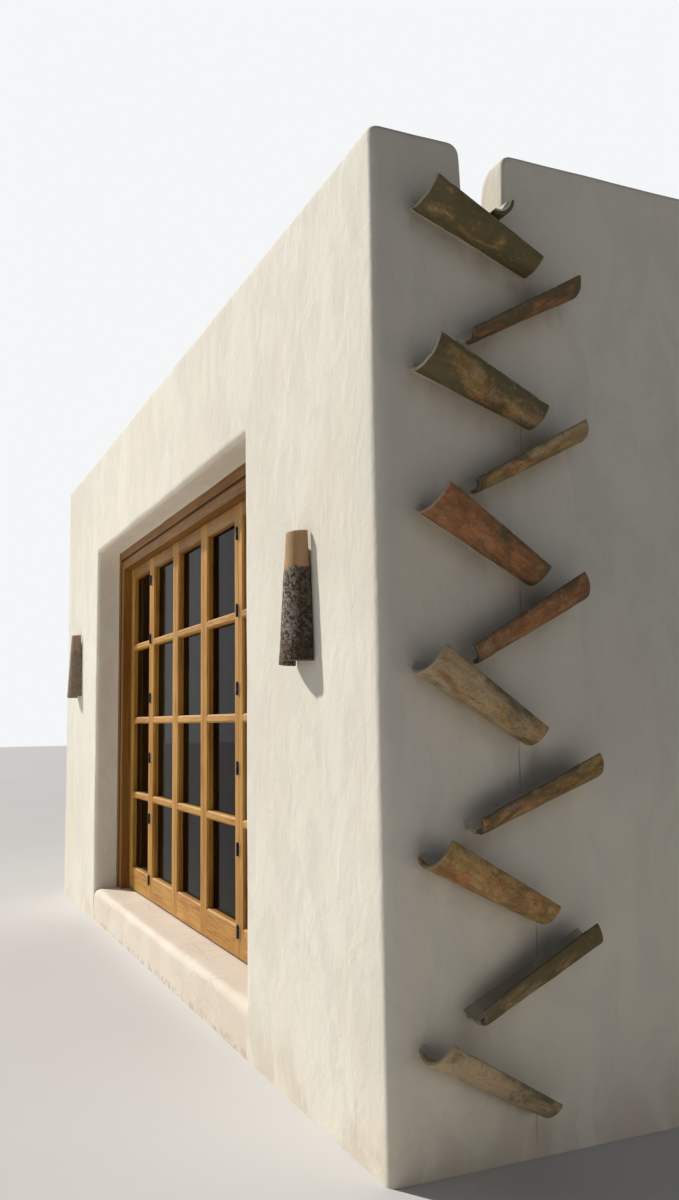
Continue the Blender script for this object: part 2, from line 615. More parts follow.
def notch_height(q, depth, top):
    """Height of the parapet at distance q from the notch's middle and at that depth in the wall:
    a rounded upper edge, a leaning cheek, a shoulder, and a channel that lines the clay tile."""
    rim = SCUPPER_RIM_Z + (SCUPPER_OUT + depth) * math.tan(SCUPPER_SLOPE)
    lining = TILE_NARROW_R + (SCUPPER_OUT + depth) * TILE_TAPER - CLAY - 0.004
    foot = NOTCH_HALF - CHEEK_LEAN
    channel = rim - 0.004 - np.sqrt(np.maximum(lining ** 2 - q ** 2, 0))
    shoulder = rim - 0.004 + 0.024 * np.clip((q - lining) / (foot - lining), 0, 1) ** 1.5
    cheek_foot = rim + 0.020
    cheek = cheek_foot + (top - NOTCH_R - cheek_foot) * smooth(q, foot, NOTCH_HALF)
    across = np.clip((NOTCH_HALF + NOTCH_R - q) / NOTCH_R, 0, 1)
    edge = top - NOTCH_R * (1 - np.sqrt(1 - across ** 2))
    low = np.where(q < lining, channel, shoulder)
    return np.where(q < foot, low, np.where(q < NOTCH_HALF, cheek, edge))


def wall_stations():
    """Stations round the plan, counterclockwise from the front left corner: side number,
    distance along that side, and angle on the corner after it (zero on a straight)."""
    wide, deep = RIGHT - LEFT, BACK - FRONT
    q = np.concatenate([NOTCH_HALF + NOTCH_R * (1 - np.cos(np.radians([90, 77, 64, 51, 38, 25, 12, 0]))),
                        np.linspace(NOTCH_HALF, NOTCH_HALF - CHEEK_LEAN, 9)[1:],
                        [0.068, 0.060, 0.054, 0.049, 0.044, 0.036, 0.026, 0.013, 0.0]])
    middle = NOTCH_Y - FRONT
    notch = np.concatenate([middle - q, middle + q[::-1][1:]])
    front = chain(spaced(CORNER_R, HOLE, FINE), spaced(HOLE, wide - HOLE, FINE),
                  spaced(wide - HOLE, wide - CORNER_R, FINE))
    lines = np.array([y - FRONT + side for y, _, _ in DRIPS for side in (-DRIP_HALF, 0, DRIP_HALF)])
    beyond = spaced(notch[-1], 0.95, 0.016)
    apart = np.abs(beyond[:, None] - lines).min(1) > 0.003
    apart[[0, -1]] = True
    right = chain(spaced(CORNER_R, notch[0], 0.016), notch, beyond[apart],
                  spaced(beyond[-1], deep - CORNER_R, 0.045))
    right = np.union1d(right, lines)
    rear = spaced(CORNER_R, wide - CORNER_R, 0.07)
    left = spaced(CORNER_R, deep - CORNER_R, 0.07)
    turn = np.radians([15, 30, 45, 60, 75])
    runs = (front, right, rear, left)
    side = np.repeat(np.arange(4), [len(run) + len(turn) for run in runs])
    along = np.concatenate([part for run in runs for part in (run, 0 * turn)])
    angle = np.concatenate([part for run in runs for part in (0 * run, turn)])
    return side, along, angle


def plan_point(side, along, angle, depth, radius):
    """Plan position at a depth in the wall, on a rectangle with rounded corners: stations near a
    corner move along so that they stay between the corner's arc and the straight."""
    starts = np.array([[LEFT, FRONT], [RIGHT, FRONT], [RIGHT, BACK], [LEFT, BACK]])[side][:, None]
    ways = np.array([[1, 0], [0, 1], [-1, 0], [0, -1]])[side][:, None]
    inward = np.array([[0, 1], [-1, 0], [0, -1], [1, 0]])[side][:, None]
    lengths = np.array([RIGHT - LEFT, BACK - FRONT] * 2)[side][:, None]
    zone = np.maximum(0.22, depth + 0.10)

    def moved(s):
        near = (depth + radius) + (s - CORNER_R) / (zone - CORNER_R) * (zone - depth - radius)
        return np.where(s < zone, near, s)

    t = along[:, None]
    t = np.where(t < lengths / 2, moved(t), lengths - moved(lengths - t))
    straight = starts + ways * t[..., None] + inward * depth[..., None]
    centre = starts + ways * (lengths - depth - radius)[..., None] + inward * (depth + radius)[..., None]
    a = angle[:, None, None]
    arc = centre + radius[..., None] * (ways * np.sin(a) - inward * np.cos(a))
    return np.where(a > 0, arc, straight)


def stains(points):
    """How brown the side wall is: streaks below each tile's lower end and below the channel, and a
    halo under each tile, deeper under the upper ones."""
    x, y, z = points.T
    total = np.zeros(len(points))
    for number in range(1, len(HAND_LAID) + 1):
        high, low = tile_ends(number)
        below = low[2] - 0.03 - z
        width = 0.022 + 0.05 * np.clip(below, 0, 1)
        total += 0.12 * bell(y - low[1], width) * smooth(below, -0.02, 0.03) * np.exp(-below / 0.30)
        part = np.clip((y - high[1]) / (low[1] - high[1]), 0, 1)
        off = np.abs(y - high[1] - part * (low[1] - high[1]))
        under = high[2] + part * (low[2] - high[2]) - z - 0.085
        total += (0.22 + 0.45 * high[2] / TOP) * bell(under, 0.062) * bell(off, 0.05)
    below = SCUPPER_RIM_Z - 0.06 - z
    total += 0.35 * bell(y - NOTCH_Y, 0.03) * smooth(below, 0, 0.02) * np.exp(-below / 0.12)
    return np.clip(total, 0, 0.75) * (x > RIGHT - 0.03)


def drips(points):
    """How dark the side wall is with water marks: thin lines below the tips of some tiles, and a grey
    bloom along the corner that spreads under the coping."""
    x, y, z = points.T
    total = np.zeros(len(points))
    for line, top, length in DRIPS:
        below = top - z
        total += (bell(y - line, 0.55 * DRIP_HALF) * smooth(below, -0.02, 0.01)
                  * (1 - smooth(below, 0.6 * length, length)))
    from_corner = y - FRONT
    total += 0.13 * np.exp(-from_corner / 0.16)
    total += 0.28 * smooth(z, 2.45, 3.25) * (1 - smooth(from_corner, 0.05, 0.75))
    return np.clip(total, 0, 1) * smooth(x, RIGHT - 0.034, RIGHT - 0.006)


def face_dent(points):
    """Depth of the plaster's hollows: a long swell of the wall, and trowelled patches on it."""
    long_swell = swell(points, 14, 1.8, 0.5)
    patches = swell(points * np.array([1.0, 1.0, 0.6]), 21, 0.38, 0.09)
    return FACE_SWELL * (0.5 + 0.28 * long_swell + 0.22 * patches)


def wall_profile(q, ground):
    """Depth in the wall and height of each row of the profile at each station: up the outer face, over
    the coping, down inside the parapet, in along the slab's ledge and down the room's side. Also the
    row at the opening's top, the rows that the room's side repeats, and how many rows are outside."""
    top = TOP - 0.001 - TOP_SWELL * (0.5 + 0.5 * swell(ground, 11, 2.4, 0.3))
    plain = smooth(q, NOTCH_HALF - CHEEK_LEAN, NOTCH_HALF)
    out_r = 0.007 + (COPING_OUT_R - 0.007) * plain * (1 + 0.25 * swell(ground, 12, 1.5, 0.3))
    in_r = 0.010 + (COPING_IN_R - 0.010) * plain
    hole_top = HEAD + MARGIN
    fixed = chain(spaced(0, STEP_TOP, 0.03), spaced(STEP_TOP, hole_top, FINE), spaced(hole_top, 2.93, FINE))
    hole_row = int(np.argmin(abs(fixed - hole_top)))
    kept = list(range(0, hole_row, 8)) + [hole_row]
    arc = np.radians(np.linspace(0, 90, 7)[1:])
    shares = np.linspace(0, 1, 6)[1:]

    def lid(d):
        return np.where(q < 1, notch_height(q, d, top), top)

    spring = lid(0.0) - out_r
    rows = [(0.0, z) for z in fixed]
    rows += [(0.0, fixed[-1] + t * (spring - fixed[-1])) for t in np.linspace(0, 1, 12)[1:]]
    for a in arc:
        d = out_r * (1 - np.cos(a))
        rows.append((d, lid(d) - out_r * (1 - np.sin(a))))
    for t in shares:
        d = out_r + t * (PARAPET - in_r - out_r)
        rows.append((d, lid(d)))
    outside = len(rows)
    for a in arc:
        d = PARAPET - in_r * (1 - np.sin(a))
        rows.append((d, lid(d) - in_r * (1 - np.cos(a))))
    foot = lid(PARAPET) - in_r
    rows += [(PARAPET, foot + t * (LEDGE - foot)) for t in shares]
    rows += [(WALL, z) for z in [LEDGE, *fixed[kept][::-1]]]
    depth, height = [np.stack([np.broadcast_to(v, len(q)) for v in part], 1) for part in zip(*rows)]
    return depth, height, hole_row, kept, outside


def opening_rings(path, rise, across):
    """The rings that close the door opening. The path runs up the left jamb (rise points), along the
    head (across points) and down the right jamb. The rings go round a rounded arris, along the
    reveal, over the frame's edge, past the frame and round to the room's side. Along the head the
    side stations close in, and along the jambs the upper rows come down."""
    bend_r = OPENING_R * (1 + 0.22 * swell(path, 15, 0.9, 0.2))
    bend_r = np.where(path[:, 2] < STEP_TOP - 0.01, 0.008, bend_r)
    lap = LAP * (0.8 + 0.3 * swell(path, 16, 0.5, 0.08))
    fore, rear = FRAME_LO[1] - FRONT, FRAME_HI[1] - FRONT
    inner_r = WALL - rear
    rings = [(bend_r * (1 - np.sin(a)), bend_r * (1 - np.cos(a))) for a in np.radians(np.arange(0, 91, 15))]
    rings += [(0, bend_r + share * (fore - bend_r)) for share in (0.3, 0.55, 0.8)]
    rings += [(-lap * 0.6, fore - 0.008), (-lap, fore + 0.001), (0, fore + 0.003), (0, rear)]
    rings += [(inner_r * (1 - np.cos(a)), rear + inner_r * np.sin(a)) for a in np.radians([30, 60, 90])]
    x, z = path[:, 0], path[:, 2]
    place = np.arange(len(path))
    on_head = (place >= rise) & (place < rise + across)
    sense = np.sign(x)
    inner_x, inner_z = HALF_OPENING - OPENING_CORNER, HEAD - OPENING_CORNER
    closing = np.maximum(np.abs(x) - inner_x, 0) / (HALF_OPENING + MARGIN - inner_x)
    falling = np.maximum(z - inner_z, 0) / (HEAD + MARGIN - inner_z)
    strip = [path]
    for margin, deep in rings:
        margin, deep = margin + 0 * x, deep + 0 * x
        head_x = sense * (np.minimum(np.abs(x), inner_x) + closing * (HALF_OPENING + margin - inner_x))
        jamb_z = np.minimum(z, inner_z) + falling * (HEAD + margin - inner_z)
        ring = np.column_stack([np.where(on_head, head_x, sense * (HALF_OPENING + margin)),
                                FRONT + deep, np.where(on_head, HEAD + margin, jamb_z)])
        ring[:, 1] += face_dent(ring) * np.clip(1 - deep / 0.1, 0, 1)
        strip.append(ring)
    wavy = REVEAL_SWELL * swell(np.array(strip).reshape(-1, 3), 17, 0.6, 0.15) + REVEAL_SWELL
    wavy = wavy.reshape(len(strip), -1)
    for k in range(3, len(strip) - 5):
        strip[k][:, 0] -= np.where(on_head, 0, sense) * wavy[k]
        strip[k][:, 2] -= on_head * wavy[k]
    return strip


def build_walls():
    """The whole plastered shell: one profile carried round the plan. The door opening is left out of
    the grid, and rings run from its outer edge along the reveal to its inner edge."""
    side, along, angle = wall_stations()
    count = len(side)
    past = along - (NOTCH_Y - FRONT)
    q = np.where((side == 1) & (angle == 0), np.abs(past), 9.0)
    corner = np.full((count, 1), CORNER_R)
    flat = plan_point(side, along, angle, 0 * corner, corner)[:, 0]
    depth, height, hole_row, kept, outside = wall_profile(q, np.column_stack([flat, np.zeros(count)]))
    rows = depth.shape[1]
    rounding = CORNER_R * (1 + 0.25 * swell(height.ravel()[:, None] * [0, 0, 1], 13, 1.2, 0.25))
    points = np.dstack([plan_point(side, along, angle, depth, rounding.reshape(depth.shape)), height])
    # The cheeks' upright edges turn outward over a small radius
    turn_in = np.clip(1 - depth / CHEEK_R, 0, 1)
    flare = CHEEK_R * (1 - np.sqrt(1 - turn_in ** 2))
    flare *= (np.arange(rows) < outside) * smooth(height, SCUPPER_RIM_Z - 0.25, SCUPPER_RIM_Z - 0.08)
    reach = np.clip((q - 0.046) / (NOTCH_HALF - CHEEK_LEAN - 0.046), 0, 1)
    reach = reach * np.clip(1 - (q - NOTCH_HALF) / NOTCH_R, 0, 1)
    points[..., 1] += flare * (reach * np.sign(past))[:, None]

    ways = np.array([[0, 1, 0], [-1, 0, 0], [0, -1, 0], [1, 0, 0]])
    inward = ways[side] * np.cos(angle)[:, None] + ways[(side + 1) % 4] * np.sin(angle)[:, None]
    points += inward[:, None] * face_dent(points.reshape(-1, 3)).reshape(count, rows, 1)
    points = points.reshape(-1, 3)

    # The grid without the cells of the door opening, outside and inside
    on_front = np.where(side == 0, along, 9e9)
    first, last = [int(np.argmin(abs(on_front - edge))) for edge in (HOLE, RIGHT - LEFT - HOLE)]
    inner_top = rows - len(kept)
    skip = np.zeros((count, rows), bool)
    skip[first:last, :hole_row] = True
    skip[first:last, inner_top:] = True
    faces = net(count, rows, True, True, skip)

    jamb = np.arange(hole_row)
    spans = np.arange(first, last + 1)
    outer = np.concatenate([first * rows + jamb, spans * rows + hole_row, last * rows + jamb[::-1]])
    steps = len(outer)
    strip = opening_rings(points[outer], hole_row, len(spans))
    rings = len(points) + np.arange((len(strip) - 1) * steps).reshape(-1, steps)
    rings = np.concatenate([outer[None], rings])
    points = np.concatenate([points] + strip[1:])
    for a, b in zip(rings[:-1], rings[1:]):
        faces += np.stack([a[:-1], a[1:], b[1:], b[:-1]], 1).tolist()
    # The last ring meets the room's side, which has fewer rows
    low = rows - 1
    rows_up = {r: low - k for k, r in enumerate(kept)}
    ring = rings[-1]
    for a, b in zip(kept[:-1], kept[1:]):
        faces.append([*ring[a:b + 1], first * rows + rows_up[b], first * rows + rows_up[a]])
        faces.append([*ring[steps - 1 - b:steps - a], last * rows + rows_up[a], last * rows + rows_up[b]])
    head_ring = ring[hole_row:hole_row + len(spans)]
    inner_head = spans * rows + inner_top
    faces += np.stack([head_ring[:-1], head_ring[1:], inner_head[1:], inner_head[:-1]], 1).tolist()
    # The feet of both jambs
    faces += [[*rings[:, 0], first * rows + low], [*rings[::-1, -1], last * rows + low]]
    faces = [[int(c) for c in face] for face in faces]
    piece("plastered_walls", points, faces, PLASTER, "plaster",
          ("front_left_pier", "front_right_pier", "front_lintel", "right_side_wall", "left_side_wall",
           "back_wall"), {"stain": stains(points), "drip": drips(points)}, 42)


def build_roof():
    """The roof's screed: a grid that falls to the drain, swells a little and turns up the parapet in
    a cove, with straight sides down to a flat underside."""
    edge = np.array([0.0, 0.006, 0.013, 0.021, 0.030, 0.042])
    xs, ys = [chain(lo + edge, spaced(lo + edge[-1], hi - edge[-1], 0.11), hi - edge[::-1])
              for lo, hi in zip(ROOF_LO[:2], ROOF_HI[:2])]
    x, y = np.meshgrid(xs, ys, indexing="ij")
    in_x = np.minimum(x - ROOF_LO[0], ROOF_HI[0] - x)
    in_y = np.minimum(y - ROOF_LO[1], ROOF_HI[1] - y)
    cove = COVE_RISE * (np.clip(1 - in_x / COVE_RUN, 0, 1) ** 2 + np.clip(1 - in_y / COVE_RUN, 0, 1) ** 2)
    drain = np.exp(-((y - NOTCH_Y) / 0.12) ** 4) * smooth(x, ROOF_HI[0] - 0.3, ROOF_HI[0] - 0.05)
    swelling = 0.004 * swell(np.stack([x, y, 0 * x], 2).reshape(-1, 3), 31, 1.6, 0.3).reshape(x.shape)
    z = ROOF_DRAIN + ROOF_FALL * (ROOF_HI[0] - x) + (cove + swelling) * (1 - drain) - 0.003
    top = np.stack([x, y, z], 2).reshape(-1, 3)
    loop = perimeter(len(xs), len(ys))
    foot = top[loop] * [1, 1, 0] + [0, 0, LEDGE]
    under = len(top) + np.arange(len(loop))
    faces = net(len(xs), len(ys))
    faces += np.stack([loop, np.roll(loop, -1), np.roll(under, -1), under], 1).tolist()
    faces.append(under.tolist())
    piece("roof_screed", np.concatenate([top, foot]), faces, SCREED, "plaster", ("roof_slab",), crease=50)


def build_step():
    """The plaster step, carried along X: a leaning face, a hand-rounded nose whose radius varies, and
    a tread that falls a little outward. Its ends run on into the piers."""
    x = spaced(-HALF_OPENING - 0.02, HALF_OPENING + 0.02, 0.035)[:, None]
    radius = (STEP_NOSE_R * (1 + 0.25 * swell(x * [1, 0, 0], 41, 1.1, 0.15)))[:, None]
    lean = (STEP_LEAN + 0.0045 * swell(x * [1, 0, 0], 42, 0.9, 0.12))[:, None]
    rise = np.linspace(0, 1, 6)[:-1]
    arc = np.radians(np.linspace(0, 90, 9))
    tread = np.linspace(0, 1, 9)[1:]
    back = FRONT + WALL
    y = np.concatenate([FRONT + 0.0015 + rise * (lean - 0.0015), FRONT + lean + radius * (1 - np.cos(arc)),
                        FRONT + lean + radius + tread * (back - FRONT - lean - radius), back + 0 * x], 1)
    z = np.concatenate([rise * (STEP_TOP - radius), STEP_TOP - radius + radius * np.sin(arc),
                        STEP_TOP + 0 * (x + tread), 0 * x], 1)
    fall = 0.0015 + 0.006 * np.clip(1 - (y - FRONT) / 0.16, 0, 1)
    z = np.where(z > 0.02, z - fall * smooth(z, 0.05, STEP_TOP), z)
    points = np.stack([np.broadcast_to(x, y.shape), y, z], 2)
    uneven = 0.0016 * swell(points.reshape(-1, 3), 43, 0.35, 0.06).reshape(y.shape)
    points[..., 2] -= np.clip(uneven, 0, 1) * (z > 0.1)
    piece("plastered_step", points, tube(*y.shape), STEP, "step_plaster", ("door_step",), crease=50)


# Clay tiles

def turned(points, axis, degrees):
    """Points turned about an axis through the origin."""
    return points @ np.array(Matrix.Rotation(math.radians(degrees), 3, axis)).T


def clay_shell(length, wide_r, narrow_r, thick, seed, wear=1.0, trim=0.0):
    """A hand-made half-round tile, x across, y along from its wide end and z up, its hollow upward.
    Its section is a band: along the belly, over one rim, back through the hollow and over the other
    rim. The band thins to nothing at both ends, which closes it. Trim is the share of the arc that
    is broken off its left wing at the narrow end. Returns the points and, per point, the share
    across, the place along, and marks for the shader."""
    arc = np.linspace(0, 1, 34)
    bend = np.linspace(0, np.pi, 6)[1:-1]
    flat, still = np.ones(len(arc)), np.zeros(len(arc))
    across = np.concatenate([arc, np.ones(4), arc[::-1], np.zeros(4)])
    out = np.concatenate([flat, np.cos(bend), -flat, -np.cos(bend)])
    past = np.concatenate([still, np.sin(bend), still, np.sin(bend)])
    edge = np.array([0, 0, 0.0012, 0.003, 0.0065])
    thin = np.array([0, 0.62, 0.86, 0.96, 1.0])
    middle = spaced(edge[-1], length - edge[-1], 0.0085)
    run = chain(edge, middle, length - edge[::-1])
    thin = np.concatenate([thin, np.ones(len(middle) - 2), thin[::-1]])[:, None]
    s, across = np.meshgrid(run, across, indexing="ij")
    across = across * (1 - trim * smooth(s, length - 0.15, length - 0.05))
    r = wide_r + (narrow_r - wide_r) * s / length - thick / 2
    where = np.stack([s, across * np.pi * r, np.full(s.shape, seed * 1.7)], 2)

    def noise(extra, long_wave, short_wave, at=where):
        return swell(at.reshape(-1, 3), seed + extra, long_wave, short_wave).reshape(s.shape)

    half = thick / 2 * (1 + 0.13 * noise(1, 0.20, 0.03))
    r = r - 0.0012 + wear * (WARP * noise(0, 0.40, 0.09) + 0.0004 * noise(2, 0.06, 0.014))
    margin = half / r
    phi = margin + across * (np.pi - 2 * margin)
    sense = np.where(across < 0.5, 1, -1)
    at_rim = np.minimum(across, 1 - across) * np.pi * r
    chipped = wear * CHIP * smooth(noise(3, 0.07, 0.012), 0.35, 0.95)
    on_ends = np.stack([0 * s + 0.31, across * np.pi * r, np.full(s.shape, seed * 2.3)], 2)
    bitten = wear * (0.001 + BITE * smooth(noise(4, 0.12, 0.014, on_ends), 0.1, 0.9))
    push = (past * half - chipped * np.exp(-at_rim / 0.008)) * sense
    x = (r + out * thin * half) * np.cos(phi) + push * np.sin(phi)
    z = -(r + out * thin * half) * np.sin(phi) + push * np.cos(phi)
    y = s + bitten * np.exp(-s / 0.014) - bitten[:, ::-1] * np.exp(-(length - s) / 0.014)
    end = np.minimum(s, length - s)
    worn = 0.35 * (1 - smooth(at_rim, 0.001, 0.007)) * smooth(noise(5, 0.08, 0.01), -0.1, 0.5)
    marks = {"rim": np.maximum(1 - smooth(end, 0.0015, 0.006), worn), "along": s,
             "round": across * np.pi * r + 0.4 * (out < 0),
             "tip": np.maximum(0.8 * np.exp(-end / 0.040), np.exp(-at_rim / 0.014))}
    return np.stack([x, y, z], 2), across, s, {key: value.ravel() for key, value in marks.items()}


def laid(points, number):
    """Puts a tile's local points where tile number lies: turned about its axis, yawed to the wall,
    sloped, mirrored if it runs to the front, and moved to its upper end."""
    fall, turn = HAND_LAID[number - 1][:2]
    points = turned(points, "Y", -turn)
    points = turned(points, "Z", math.degrees(math.asin((OFF_WIDE - OFF_NARROW) / TILE_LEN)))
    points = turned(points, "X", -math.degrees(math.asin(fall / TILE_LEN)))
    if number % 2 == 0:
        points = points * [1, -1, 1]
    return points + [RIGHT, 0, 0] + tile_ends(number)[0]


def build_cascade():
    """The eleven tiles, each with its own wear and its own share of terracotta, moss and pale crust."""
    for number, (warm, moss, pale, lean, rim, broken, _) in enumerate(TILE_LOOKS, 1):
        shell, _, s, marks = clay_shell(TILE_LEN, TILE_WIDE_R, TILE_NARROW_R, CLAY, 200 + 10 * number,
                                        trim=broken)
        lean = lean * (marks["along"] / TILE_LEN - 0.5)
        marks.update(warm=np.full(s.size, warm), member=np.full(s.size, number * 0.37),
                     moss=np.clip(moss + lean, 0, 1), pale=np.clip(pale - lean, 0, 1), rim=marks["rim"] * rim)
        piece(f"cascade_clay_{number:02d}", laid(shell.reshape(-1, 3), number),
              net(*s.shape, close_cols=True), CASCADE_CLAY, "clay", (f"cascade_tile_{number:02d}",),
              marks, 50)


def fillet(number, inner):
    """The plaster where a tile enters the wall: a thin line under the belly, or a coat in the hollow,
    which also takes the place of a broken wing. At each place along the tile the point where its
    surface meets the wall is found, and a curve is drawn from the wall beside it to the clay beyond
    it, with the contact point as its control. Past the end it dwindles to nothing."""
    broken, hollow = TILE_LOOKS[number - 1][5:]
    s = spaced(0.002, TILE_LEN + PAST_END, 0.010)
    phi = np.linspace(np.pi / 3, np.pi, 120)
    shares = np.linspace(0, 1, 9)
    beyond = smooth(s, TILE_LEN - 0.006, TILE_LEN + 0.001)
    near_end = smooth(s, TILE_LEN - 0.18, TILE_LEN - 0.07)
    dwindle = np.sqrt(np.clip((TILE_LEN + PAST_END - s) / PAST_END, 0, 1))
    r = TILE_WIDE_R - TILE_TAPER * s - CLAY * inner - 0.0015 * inner

    def surface(angle, extra=0.0):
        return laid(np.stack([(r + extra) * np.cos(angle), s, -(r + extra) * np.sin(angle)], 1), number)

    sweep = np.minimum.accumulate(np.stack([surface(a)[:, 0] for a in phi], 1), axis=1)
    meet = np.array([np.interp(RIGHT - 0.001, row[::-1], phi[::-1]) for row in sweep])
    uneven = 1 + 0.3 * swell(s[:, None] * [1, 0, 0], 300 + 2 * number + inner, 0.25, 0.04)
    ends = np.where(s > TILE_LEN, dwindle, smooth(s, -0.012, 0.02))
    beside_by = (0.009 if inner else 0.006) * uneven * ends
    reach = (math.radians(hollow) if inner else 0.007 / r) * uneven * ends
    if inner and broken:
        wing = meet - math.pi * (1 - broken) + 0.2
        reach = np.maximum(reach, near_end * wing * np.where(s > TILE_LEN, dwindle, 1))
        beyond = np.maximum(beyond, near_end)
    way = 1 if inner else -1
    contact = surface(meet)
    along = np.gradient(contact, axis=0)
    beside = np.column_stack([0 * s, -along[:, 2], along[:, 1]])
    beside /= np.linalg.norm(beside, axis=1)[:, None]
    beside *= np.sign(beside[:, 2:]) * way
    on_wall = contact + beside * beside_by[:, None] - [0.006, 0, 0]
    near = ((1 - shares) ** 2)[:, None, None]
    hug = np.stack([surface(meet - reach * share ** 0.8, -0.0045 * (1 - share) * inner) for share in shares])
    depth = (0.004 + (CLAY - 0.0033) * beyond) * way
    under = [surface(meet - reach, depth), surface(meet - reach / 2, depth), contact - [0.02, 0, 0]]
    ring = np.concatenate([hug * (1 - near) + on_wall * near, under]).transpose(1, 0, 2)
    return ring.reshape(-1, 3), tube(*ring.shape[:2])


def joined(parts):
    """Several pairs of points and faces as one."""
    points, faces, start = [], [], 0
    for some, own in parts:
        points.append(np.asarray(some))
        faces += [[int(c) + start for c in face] for face in own]
        start += len(some)
    return np.concatenate(points), faces


def build_fillets():
    """Both fillets of all tiles as one piece, the tenth tile's coat more stained than the others."""
    sides = [(number, inner) for number in range(1, len(HAND_LAID) + 1) for inner in (False, True)]
    parts = [fillet(*side) for side in sides]
    stain = [np.full(len(part[0]), (0.75 if number == 10 else 0.35) if inner else 0.45)
             for part, (number, inner) in zip(parts, sides)]
    piece("plaster_fillets", *joined(parts), PLASTER, "plaster", marks={"stain": np.concatenate(stain)},
          crease=60)


def build_scupper():
    """The channel through the notch, and the plaster that lines it as far as its lip."""
    def placed(points):
        points = points.reshape(-1, 3) * [1, -1, 1] + [0, SCUPPER_LEN, 0]
        points = turned(turned(points, "X", math.degrees(SCUPPER_SLOPE)), "Z", 90)
        return points + [RIGHT + SCUPPER_OUT, NOTCH_Y, SCUPPER_RIM_Z]

    far_r = TILE_NARROW_R + SCUPPER_LEN * TILE_TAPER
    shell, _, s, marks = clay_shell(SCUPPER_LEN, far_r, TILE_NARROW_R, CLAY, 410, trim=SCUPPER_BROKEN)
    for key, value in (("warm", 0.4), ("moss", 0.8), ("pale", 0.0), ("rim", 0.0), ("member", 7.7)):
        marks[key] = np.full(s.size, value)
    piece("scupper_clay", placed(shell), net(*s.shape, close_cols=True), CASCADE_CLAY, "clay",
          ("scupper_tile",), marks, 50)
    lined = SCUPPER_OUT + 0.02
    lip = TILE_NARROW_R - CLAY + 0.0025
    shell, _, s, _ = clay_shell(lined, lip + lined * TILE_TAPER, lip, 0.007, 430, 0.6, SCUPPER_BROKEN)
    piece("scupper_lining", placed(shell + [0, SCUPPER_LEN - lined, 0.002]), net(*s.shape, close_cols=True),
          PLASTER, "plaster")


def build_wall_lights():
    """The upright tiles beside the doors, narrow end up, their hollow to the wall. The lower edge is
    broken in a step, and a splinter is missing from the upper end of the right rim."""
    for name, seed, faded in (("left", 540, 0.8), ("right", 510, 0.0)):
        lo, hi = arrays(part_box(f"wall_light_{name}"))
        length, wide = hi[2] - lo[2], (hi[0] - lo[0]) / 2
        shell, across, s, marks = clay_shell(length, wide, wide - TILE_TAPER * length, CLAY, seed, 0.8)
        right_side = 1 - across
        step = 0.010 * smooth(right_side, 0.40, 0.44) + 0.002
        shell[..., 1] += step * np.clip(1 - s / 0.25, 0, 1)
        splinter = smooth(s, length - 0.132, length - 0.126) * smooth(right_side, 0.94, 0.97)
        shell[..., 2] -= 0.006 * splinter
        points = shell.reshape(-1, 3)[:, [0, 2, 1]] + [(lo[0] + hi[0]) / 2, FRONT, lo[2]]
        line = length * LICHEN_LINE + 0.007 * swell(points * [1, 1, 0.2], 560, 0.05, 0.010).reshape(s.shape)
        own = {"bare": smooth(s, line - 0.002, line + 0.002), "foot": 1 - smooth(s, 0.05, 0.11),
               "side": smooth(right_side, 0.70, 0.85), "sunny": 1 - smooth(right_side, 0.22, 0.36),
               "member": np.full(s.size, seed * 0.011), "faded": np.full(s.size, faded)}
        marks.update((key, values.ravel()) for key, values in own.items())
        piece(f"light_clay_{name}", points, net(*s.shape, close_cols=True), LIGHT_CLAY, "lichened_clay",
              (f"wall_light_{name}",), marks, 50)


def lathe(profile, centre, count=20):
    """A turned shape round the Z axis: radius and height along the profile, carried round."""
    profile = np.array(profile)
    turn = np.linspace(0, 2 * np.pi, count, endpoint=False)
    ring = np.stack([profile[:, :1] * np.cos(turn), profile[:, :1] * np.sin(turn),
                     np.repeat(profile[:, 1:], count, 1)], 2)
    return ring.reshape(-1, 3) + centre, net(len(profile), count, close_cols=True)


def block(*spans):
    """The eight corners and six faces of a block that spans two values on each axis, in any order."""
    (x0, x1), (y0, y1), (z0, z1) = [sorted(span) for span in spans]
    points = [(x, y, z) for x in (x0, x1) for y in (y0, y1) for z in (z0, z1)]
    faces = [[0, 1, 3, 2], [4, 6, 7, 5], [0, 4, 5, 1], [2, 3, 7, 6], [0, 2, 6, 4], [1, 5, 7, 3]]
    return np.array(points), faces


def build_lamps():
    """The lamp behind each upright tile: wall plate, arm, ribbed holder and bulb."""
    for name in ("left", "right"):
        lo, hi = arrays(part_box(f"lamp_{name}"))
        x, y, base = (lo[0] + hi[0]) / 2, lo[1] + 0.014, lo[2]
        plate = block((lo[0], hi[0]), (FRONT - 0.010, FRONT), (base, base + 0.090))
        arm = block((x - 0.004, x + 0.004), (y, FRONT - 0.005), (base + 0.037, base + 0.045))
        ribs = [(0, 0.0), (0.011, 0.0), (0.013, 0.002)]
        for k in range(4):
            ribs += [(0.013, 0.006 + 0.009 * k), (0.014, 0.008 + 0.009 * k), (0.013, 0.010 + 0.009 * k)]
        ribs += [(0.012, 0.043), (0.010, 0.045), (0, 0.045)]
        glass = [(0.0, 0.0), (0.007, 0.0)]
        glass += [(0.0075 + 0.0035 * math.sin(a), 0.006 + 0.034 * (1 - math.cos(a)) / 2)
                  for a in np.linspace(0, np.pi, 14)]
        glass += [(0.006, 0.046), (0.0035, 0.050), (0, 0.051)]
        holder, bulb = lathe(ribs, (x, y, base + 0.031)), lathe(glass, (x, y, base + 0.0755))
        piece(f"lamp_fitting_{name}", *joined([plate, arm, holder, bulb]), ENAMEL, "lamp", (f"lamp_{name}",),
              bevel=0.001)


# Joinery

